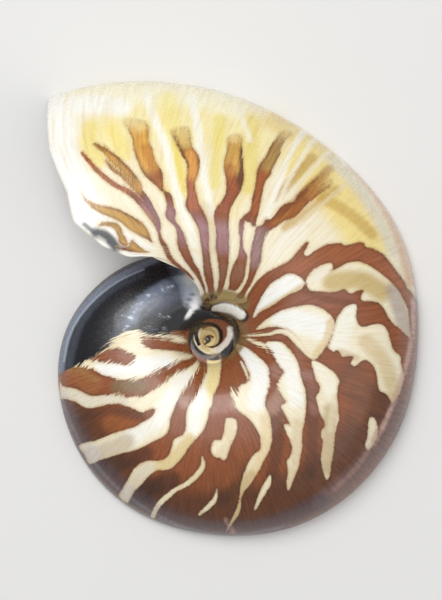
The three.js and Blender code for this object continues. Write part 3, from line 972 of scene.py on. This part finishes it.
def smoothLoop(points):
    p = np.array(points, float)
    a, b, c, d = np.roll(p, 1, 0), p, np.roll(p, -1, 0), np.roll(p, -2, 0)
    rows = [eased(a, b, c, d, f) for f in np.arange(pattern["steps"]) / pattern["steps"]]
    return np.stack(rows, 1).reshape(-1, 2)


def smoothPath(points):
    p = np.array(points, float)
    if len(p) < 3:
        return p
    p = np.concatenate([2 * p[:1] - p[1:2], p, 2 * p[-1:] - p[-2:-1]])
    parts = np.arange(pattern["steps"]) / pattern["steps"]
    rows = [eased(p[:-3], p[1:-2], p[2:-1], p[3:], f) for f in parts]
    return np.concatenate([np.stack(rows, 1).reshape(-1, p.shape[1]), p[-2:-1]])


# pixels into an outline, negative outside, held to the reach
def outlineDistance(at, points, reach=pattern["reach"]):
    loop = smoothLoop(points)
    result = np.full(len(at), -reach)
    low, high = loop.min(0) - reach, loop.max(0) + reach
    near = np.flatnonzero(((at > low) & (at < high)).all(1))
    p = at[near]
    best = np.full(len(p), reach * reach)
    inside = np.zeros(len(p), bool)
    for a, b in zip(loop, np.roll(loop, -1, 0)):
        ab = b - a
        t = np.clip(((p - a) @ ab) / max(ab @ ab, 1e-9), 0, 1)
        best = np.minimum(best, ((p - a - t[:, None] * ab) ** 2).sum(1))
        crosses = (a[1] > p[:, 1]) != (b[1] > p[:, 1])
        if a[1] != b[1]:
            inside ^= crosses & (p[:, 0] < a[0] + (p[:, 1] - a[1]) / (b[1] - a[1]) * ab[0])
    result[near] = np.where(inside, 1, -1) * np.sqrt(best)
    return result


# pixels into a ribbon of changing width, negative outside
def ribbonDistance(at, points, reach=pattern["reach"]):
    result = np.full(len(at), -reach)
    path = smoothPath(points)
    spare = reach + path[:, 2].max()
    near = np.flatnonzero(((at > path[:, :2].min(0) - spare) & (at < path[:, :2].max(0) + spare)).all(1))
    p = at[near]
    best = result[near]
    for (ax, ay, aw), (bx, by, bw) in zip(path, path[1:]):
        a, ab = np.array([ax, ay]), np.array([bx - ax, by - ay])
        t = np.clip(((p - a) @ ab) / (ab @ ab), 0, 1)
        away = np.sqrt(((p - a - t[:, None] * ab) ** 2).sum(1))
        best = np.maximum(best, aw + t * (bw - aw) - away)
    result[near] = best
    return result


def strokeDepth(at, path, radius):  # 0 at the stroke's edge and 1 on its path
    return ribbonDistance(at, [(x, y, radius) for x, y in path], radius) / radius


def overStrokes(at, colour, strokes, softness=pattern["softness"]):
    for tone, radius, strength, path in strokes:
        f = np.clip(strokeDepth(at, path, radius) / softness, 0, 1)
        f = (f * f * (3 - 2 * f) * strength)[:, None]
        colour = colour * (1 - f) + linear(tone) * f
    return colour


def strokeColour(at, base, strokes):
    colour = np.repeat(linear(base)[None, :], len(at), 0)
    return overStrokes(at, colour, strokes)


def strokeReach(at, strokes, rise):
    amount = np.zeros(len(at))
    for reach, radius, path in strokes:
        amount = np.maximum(amount, reach * np.clip(strokeDepth(at, path, radius) * rise, 0, 1))
    return amount


camera = {
    "lens": 400,
    "sensor": 36,
    "clipEnd": 20,
    "aimX": (picture["width"] / 2 - picture["pole"][0]) * pixel,
    "aimY": (picture["pole"][1] - picture["height"] / 2) * pixel,
}
camera["distance"] = picture["height"] * pixel * camera["lens"] / camera["sensor"]


def picturePoint(places):  # where a point in millimetres falls in the picture, in pixels
    grow = camera["distance"] / (camera["distance"] - places[:, 2]) / pixel
    x = picture["width"] / 2 + (places[:, 0] - camera["aimX"]) * grow
    y = picture["height"] / 2 - (places[:, 1] - camera["aimY"]) * grow
    return np.stack([x, y], 1)


# pixels into the cream, and how strong a flame is where it fades in
def flamePattern(at):
    edge = outlineDistance(at, upperCream)
    strength = np.ones(len(at))
    for flame in upperFlames.values():
        depth = outlineDistance(at, flame["outline"])
        start, end = np.array(flame["fade"], float)
        along = end - start
        fade = np.clip(((at - start) @ along) / (along @ along), 0, 1)
        strength = np.where(depth > pattern["flameMargin"], fade, strength)
        edge = np.minimum(edge, -depth)
    for ribbon in upperRibbons.values():
        depth = ribbonDistance(at, ribbon)
        strength = np.where(depth > pattern["ribbonMargin"], 1, strength)
        edge = np.minimum(edge, -depth)
    for ribbon in paleRibbons.values():
        edge = np.maximum(edge, ribbonDistance(at, ribbon))
    return edge, strength


def lowerPattern(at, edge):
    for outline in lowerCream.values():
        edge = np.maximum(edge, outlineDistance(at, outline))
    for outline in lowerIslands.values():
        edge = np.minimum(edge, -outlineDistance(at, outline))
    for ribbon in lowerRibbons.values():
        edge = np.maximum(edge, ribbonDistance(at, ribbon))
    return edge


def raiseCallus(piece, at, outside):
    places = readPlaces(piece)
    swell = np.clip(ribbonDistance(at, callus["path"]) / callus["slope"], 0, 1)
    rise = callus["height"] * np.sqrt(swell * (2 - swell)) * mm
    places[:, 2] += np.where(outside, rise, 0)
    movePlaces(piece, places)


# the pattern's edges, fades and soft colours, kept on the wall's vertices
def paintPattern(piece):
    at = picturePoint(readPlaces(piece).astype(float) / mm)
    stage = readAttribute(piece, "stage")
    late = stage > pattern["lastWhorl"]
    raiseCallus(piece, at, (readAttribute(piece, "inside") < 0.5) & late)
    edge, strength = flamePattern(at)
    edge = lowerPattern(at, np.where(late, edge, -pattern["reach"]))
    edge = np.maximum(edge, callus["firmness"] * ribbonDistance(at, callus["path"]))
    film = np.where(stage < pattern["filmEnd"], outlineDistance(at, blackFilm), -pattern["reach"])
    giveAttribute(piece, "edge", edge)
    giveAttribute(piece, "strength", strength)
    giveAttribute(piece, "film", film)
    giveAttribute(piece, "feather", strokeReach(at, featherStrokes, pattern["featherRise"]))
    giveAttribute(piece, "sweep", strokeReach(at, sweepStrokes, pattern["featherRise"]))
    giveAttribute(piece, "glint", strokeReach(at, glintStrokes, pattern["glintRise"]))
    tones = {
        "cream": strokeColour(at, creamBase, creamStrokes + creamRimSheenAndShadeStrokes + lipSmudge),
        "brown": strokeColour(at, brownBase, brownStrokes + brownRimSheenAndShadeStrokes + lipSmudge),
        "dark": strokeColour(at, filmBase, filmLightAndShadeStrokes),
    }
    for name, tone in tones.items():
        giveColour(piece, name, overStrokes(at, tone, navelStrokes, pattern["navelSoftness"]))


# materials

class Nodes:
    def __init__(self, name):
        self.material = bpy.data.materials.new(name)
        self.material.use_nodes = True
        self.tree = self.material.node_tree
        self.shader = self.tree.nodes["Principled BSDF"]

    def fill(self, socket, value):
        if isinstance(value, bpy.types.NodeSocket):
            self.tree.links.new(value, socket)
        else:
            socket.default_value = value

    def add(self, kind, inputs=(), **settings):
        node = self.tree.nodes.new(kind)
        for key, value in settings.items():
            setattr(node, key, value)
        for key, value in dict(inputs).items():
            self.fill(node.inputs[key], value)
        return node

    def set(self, **inputs):
        for key, value in inputs.items():
            self.fill(self.shader.inputs[key.replace("_", " ")], value)

    def attribute(self, name, socket="Fac"):
        return self.add("ShaderNodeAttribute", attribute_name=name).outputs[socket]

    def here(self):
        return self.add("ShaderNodeTexCoord").outputs["Object"]

    def maths(self, operation, *values):
        return self.add("ShaderNodeMath", enumerate(values), operation=operation).outputs[0]

    def plus(self, a, b):
        return self.maths("ADD", a, b)

    def minus(self, a, b):
        return self.maths("SUBTRACT", a, b)

    def times(self, a, b):
        return self.maths("MULTIPLY", a, b)

    def pair(self, x, y):
        return self.add("ShaderNodeCombineXYZ", {"X": x, "Y": y}).outputs[0]

    def span(self, value, low, high, toLow=0.0, toHigh=1.0):
        inputs = {"Value": value, "From Min": low, "From Max": high, "To Min": toLow, "To Max": toHigh}
        return self.add("ShaderNodeMapRange", inputs, interpolation_type="SMOOTHSTEP").outputs["Result"]

    def noise(self, vector, scale, detail=3.0, roughness=0.55):
        inputs = {"Vector": vector, "Scale": scale, "Detail": detail, "Roughness": roughness}
        return self.add("ShaderNodeTexNoise", inputs).outputs["Fac"]

    def blend(self, factor, a, b, kind="MIX"):
        node = self.add("ShaderNodeMix", data_type="RGBA", blend_type=kind)
        for index, value in ((0, factor), (6, a), (7, b)):
            self.fill(node.inputs[index], value)
        return node.outputs[2]

    def bump(self, strength, distance, height):
        inputs = {"Strength": strength, "Distance": distance * mm, "Height": height}
        return self.add("ShaderNodeBump", inputs).outputs[0]


flankLook = {
    # noises that run along the growth lines: scale to a degree, detail and roughness
    "streaks": (1.1, 4.0, 0.6),
    "fineStreaks": (4.5, 3.0, 0.6),
    "hairlines": (0.55, 4.0, 0.75),
    "slants": (1.0, 3.0, 0.7),
    "wisps": (0.9, 4.0, 0.8),
    "turnScale": 0.04,  # what a degree of turn counts beside one of growth
    "slantScale": (1.75, 0.8),  # the same for the slanting strokes, growth and turn
    "slantStretch": (0.5, 0.035),
    # noises in every direction: scale to a metre and detail
    "grain": (900, 3.0),
    "speckle": (1900, 2.0),
    "sparks": (420, 3.0),
    # how far the markings' edges stray, in pixels
    "grainStray": 1.6,
    "hairStray": 2.6,
    "hairLeast": 0.8,
    "slantStray": 2.6,
    "edgeSoft": 0.9,
    "stippleSoft": 0.28,
    "filmSoft": (-1.6, 0),
    # the cream, and its ochre border
    "warm": (0.80, 0.66, 0.40, 1),
    "warmth": 0.38,
    "warmWhere": (0.32, 0.6),
    "ochre": (196, 158, 88),
    "ochreWide": (3.4, 0.4),
    "ochreWhere": (0.36, 0.6),
    "ochreStrength": 0.6,
    # the brown, and its dark border
    "shade": (0.32, 0.68, 0.8, 1.2),
    "umber": (70, 42, 26),
    "umberWide": (-3.6, -1),
    "umberWhere": (0.62, 0.4),
    "umberStrength": 0.5,
    # the film's glints
    "glint": (0.78, 0.84, 0.96, 1),
    "glintWhere": (0.66, 0.8),
    "glintRaise": 0.2,
    "wispShare": 0.62,
    "sparkShare": 0.38,
    # the surface
    "bump": 0.22,
    "bumpDepth": 0.6,
    "roughness": (0.24, 0.36),
    "specular": 0.5,
    "coat": 0.35,
    "coatRoughness": 0.12,
}


def tint(colour):
    return (*linear(colour), 1)


def markingWobble(flank, lines, grain):
    look = flankLook
    wobble = flank.times(flank.minus(grain, 0.5), look["grainStray"])
    hairline = flank.minus(flank.noise(lines, *look["hairlines"]), 0.5)
    reach = flank.times(flank.plus(flank.attribute("feather"), look["hairLeast"]), look["hairStray"])
    wobble = flank.plus(wobble, flank.times(hairline, reach))
    along = flank.times(flank.attribute("line"), look["slantScale"][0])
    across = flank.times(flank.attribute("turn"), look["slantScale"][1])
    slantX = flank.times(flank.plus(along, across), look["slantStretch"][0])
    slantY = flank.times(flank.minus(along, across), look["slantStretch"][1])
    swept = flank.minus(flank.noise(flank.pair(slantX, slantY), *look["slants"]), 0.5)
    return flank.plus(wobble, flank.times(swept, flank.times(flank.attribute("sweep"), look["slantStray"])))


def creamTone(flank, edge, streak):
    look = flankLook
    warm = flank.blend(flank.span(streak, *look["warmWhere"]), look["warm"], (1, 1, 1, 1))
    cream = flank.blend(look["warmth"], flank.attribute("cream", "Color"), warm, "MULTIPLY")
    border = flank.times(flank.span(edge, *look["ochreWide"]), flank.span(streak, *look["ochreWhere"]))
    return flank.blend(flank.times(border, look["ochreStrength"]), cream, tint(look["ochre"]))


def brownTone(flank, edge, streak, fineStreak):
    look = flankLook
    shade = flank.span(streak, *look["shade"])
    shades = flank.add("ShaderNodeCombineColor", {"Red": shade, "Green": shade, "Blue": shade}).outputs[0]
    brown = flank.blend(1.0, flank.attribute("brown", "Color"), shades, "MULTIPLY")
    border = flank.times(flank.span(edge, *look["umberWide"]), flank.span(fineStreak, *look["umberWhere"]))
    return flank.blend(flank.times(border, look["umberStrength"]), brown, tint(look["umber"]))


# the film's black with its painted glints
def filmAndGlintTone(flank, here, lines):
    look = flankLook
    amount = flank.attribute("glint")
    wisps = flank.times(flank.noise(lines, *look["wisps"]), look["wispShare"])
    sparks = flank.times(flank.noise(here, *look["sparks"]), look["sparkShare"])
    raised = flank.plus(flank.plus(wisps, sparks), flank.times(amount, look["glintRaise"]))
    glint = flank.times(flank.span(raised, *look["glintWhere"]), amount)
    return flank.blend(glint, flank.attribute("dark", "Color"), look["glint"])


def outerMaterial():
    look = flankLook
    flank = Nodes("shellOutside")
    here = flank.here()
    turn = flank.times(flank.attribute("turn"), look["turnScale"])
    lines = flank.pair(flank.attribute("line"), turn)
    streak, fineStreak = flank.noise(lines, *look["streaks"]), flank.noise(lines, *look["fineStreaks"])
    grain, speckle = flank.noise(here, *look["grain"]), flank.noise(here, *look["speckle"])

    wobble = markingWobble(flank, lines, grain)
    edge = flank.plus(flank.attribute("edge"), wobble)
    soft = look["stippleSoft"]
    stipple = flank.span(flank.minus(flank.attribute("strength"), speckle), -soft, soft)
    brownness = flank.times(flank.span(edge, look["edgeSoft"], -look["edgeSoft"]), stipple)
    cream, brown = creamTone(flank, edge, streak), brownTone(flank, edge, streak, fineStreak)
    film = flank.span(flank.minus(flank.attribute("film"), wobble), *look["filmSoft"])
    colour = flank.blend(film, flank.blend(brownness, cream, brown), filmAndGlintTone(flank, here, lines))

    height = flank.plus(flank.times(streak, 0.5), flank.times(fineStreak, 0.5))
    flank.set(Base_Color=colour, Normal=flank.bump(look["bump"], look["bumpDepth"], height))
    flank.set(Roughness=flank.span(grain, 0.3, 0.7, *look["roughness"]))
    flank.set(Specular_IOR_Level=look["specular"])
    flank.set(Coat_Weight=look["coat"], Coat_Roughness=look["coatRoughness"])
    return flank.material


nacreLook = {
    "clouds": (120, 4.0),  # scale to a metre and detail
    "grain": (1400, 3.0),
    "facing": 0.4,
    "facingShare": 0.7,
    "cloudShare": 0.5,
    "tones": [  # places along the sheen, and the colour at each
        (0.1, (226, 220, 206)), (0.35, (232, 210, 206)), (0.55, (208, 224, 212)), (0.8, (204, 208, 226)),
    ],
    "bump": 0.12,
    "bumpDepth": 0.4,
    "roughness": (0.2, 0.32),
    "metallic": 0.25,
    "coat": 0.4,
    "coatRoughness": 0.1,
}


def nacreMaterial():
    look = nacreLook
    pearl = Nodes("nacre")
    here = pearl.here()
    facing = pearl.add("ShaderNodeLayerWeight", {"Blend": look["facing"]}).outputs["Facing"]
    cloud, grain = pearl.noise(here, *look["clouds"]), pearl.noise(here, *look["grain"])
    play = pearl.plus(pearl.times(facing, look["facingShare"]), pearl.times(cloud, look["cloudShare"]))
    sheen = pearl.add("ShaderNodeValToRGB", {"Fac": play})
    ramp, tones = sheen.color_ramp, look["tones"]
    ramp.elements[0].position, ramp.elements[1].position = tones[0][0], tones[-1][0]
    for position, _ in tones[1:-1]:
        ramp.elements.new(position)
    for element, (_, tone) in zip(ramp.elements, tones):
        element.color = tint(tone)
    bump = pearl.bump(look["bump"], look["bumpDepth"], grain)
    pearl.set(Base_Color=sheen.outputs["Color"], Normal=bump, Metallic=look["metallic"])
    pearl.set(Roughness=pearl.span(cloud, 0.3, 0.7, *look["roughness"]))
    pearl.set(Coat_Weight=look["coat"], Coat_Roughness=look["coatRoughness"])
    return pearl.material


cutLook = {
    "layers": (700, 4.0),
    "grain": (2600, 2.0),
    "tones": [(214, 200, 172), (244, 238, 224)],
    "bump": 0.3,
    "bumpDepth": 0.3,
    "roughness": (0.45, 0.62),
}


def cutMaterial():
    look = cutLook
    chalk = Nodes("cutEdge")
    here = chalk.here()
    layers, grain = chalk.noise(here, *look["layers"]), chalk.noise(here, *look["grain"])
    low, high = look["tones"]
    bump = chalk.bump(look["bump"], look["bumpDepth"], grain)
    chalk.set(Base_Color=chalk.blend(layers, tint(low), tint(high)), Normal=bump)
    chalk.set(Roughness=chalk.span(grain, 0.3, 0.7, *look["roughness"]))
    return chalk.material


sharpAngle = 40  # degrees; flatter folds are smoothed
sawnBelow = 0.02 * mm  # a face lower than this lies on the cut


# gives each face its material and smooths the faces between sharp edges
def finishPiece(piece, materials, chooseSlot):
    mesh = piece.data
    mesh.materials.clear()
    for material in materials:
        mesh.materials.append(material)
    places = readPlaces(piece)
    slots = [chooseSlot(face, places[list(face.vertices)]) for face in mesh.polygons]
    mesh.polygons.foreach_set("material_index", slots)
    pick(piece)
    bpy.ops.object.shade_smooth_by_angle(angle=math.radians(sharpAngle))
    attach(piece, "root")
    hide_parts("shell")


print("pattern")
paintPattern(shellWall)

print("materials")
outside, nacre, cutEdge = outerMaterial(), nacreMaterial(), cutMaterial()
insideOf = readAttribute(shellWall, "inside")


def wallSlot(face, places):
    if places[:, 2].max() < sawnBelow:
        return 2
    return 1 if insideOf[list(face.vertices)].mean() > 0.5 else 0


def plainSlot(face, places):
    return 1 if places[:, 2].max() < sawnBelow else 0


finishPiece(shellWall, [outside, nacre, cutEdge], wallSlot)
finishPiece(septaPiece, [nacre, cutEdge], plainSlot)
finishPiece(coilStart, [outside, cutEdge], plainSlot)


# the floor, lights and camera

studio = {
    "floorSize": 4,
    "floorDrop": 0.05,
    "paper": (0.8, 0.79, 0.77, 1),
    "paperRoughness": 0.85,
    "sky": (0.95, 0.97, 1, 1),
    "skyStrength": 0.35,
}
lights = {
    "key": {"at": (-0.35, 0.6, 1.1), "size": 0.6, "power": 7.8},
    "fill": {"at": (0.9, -0.5, 1.2), "size": 1.2, "power": 3},
    "top": {"at": (-0.1, 0.1, 2.0), "size": 1.2, "power": 10},
}

print("studio")
bpy.ops.object.select_all(action="DESELECT")
bpy.ops.mesh.primitive_plane_add(size=studio["floorSize"], location=(0, 0, -studio["floorDrop"] * mm))
floor = bpy.context.object
floor.name = "floor"
paper = Nodes("paleFloor")
paper.set(Base_Color=studio["paper"], Roughness=studio["paperRoughness"])
floor.data.materials.append(paper.material)

for name, light in lights.items():
    bpy.ops.object.light_add(type="AREA", location=light["at"])
    lamp = bpy.context.object
    lamp.name = name
    lamp.data.size = light["size"]
    lamp.data.energy = light["power"]
    lamp.rotation_euler = (-lamp.location).to_track_quat("-Z", "Y").to_euler()

world = bpy.context.scene.world or bpy.data.worlds.new("world")
bpy.context.scene.world = world
world.use_nodes = True
sky = world.node_tree.nodes["Background"]
sky.inputs["Color"].default_value = studio["sky"]
sky.inputs["Strength"].default_value = studio["skyStrength"]

eyePlace = (camera["aimX"] * mm, camera["aimY"] * mm, camera["distance"] * mm)
bpy.ops.object.camera_add(location=eyePlace, rotation=(0, 0, 0))
eye = bpy.context.object
eye.data.lens = camera["lens"]
eye.data.sensor_width = camera["sensor"]
eye.data.clip_end = camera["clipEnd"]
bpy.context.scene.camera = eye
bpy.context.scene.view_settings.view_transform = "Standard"
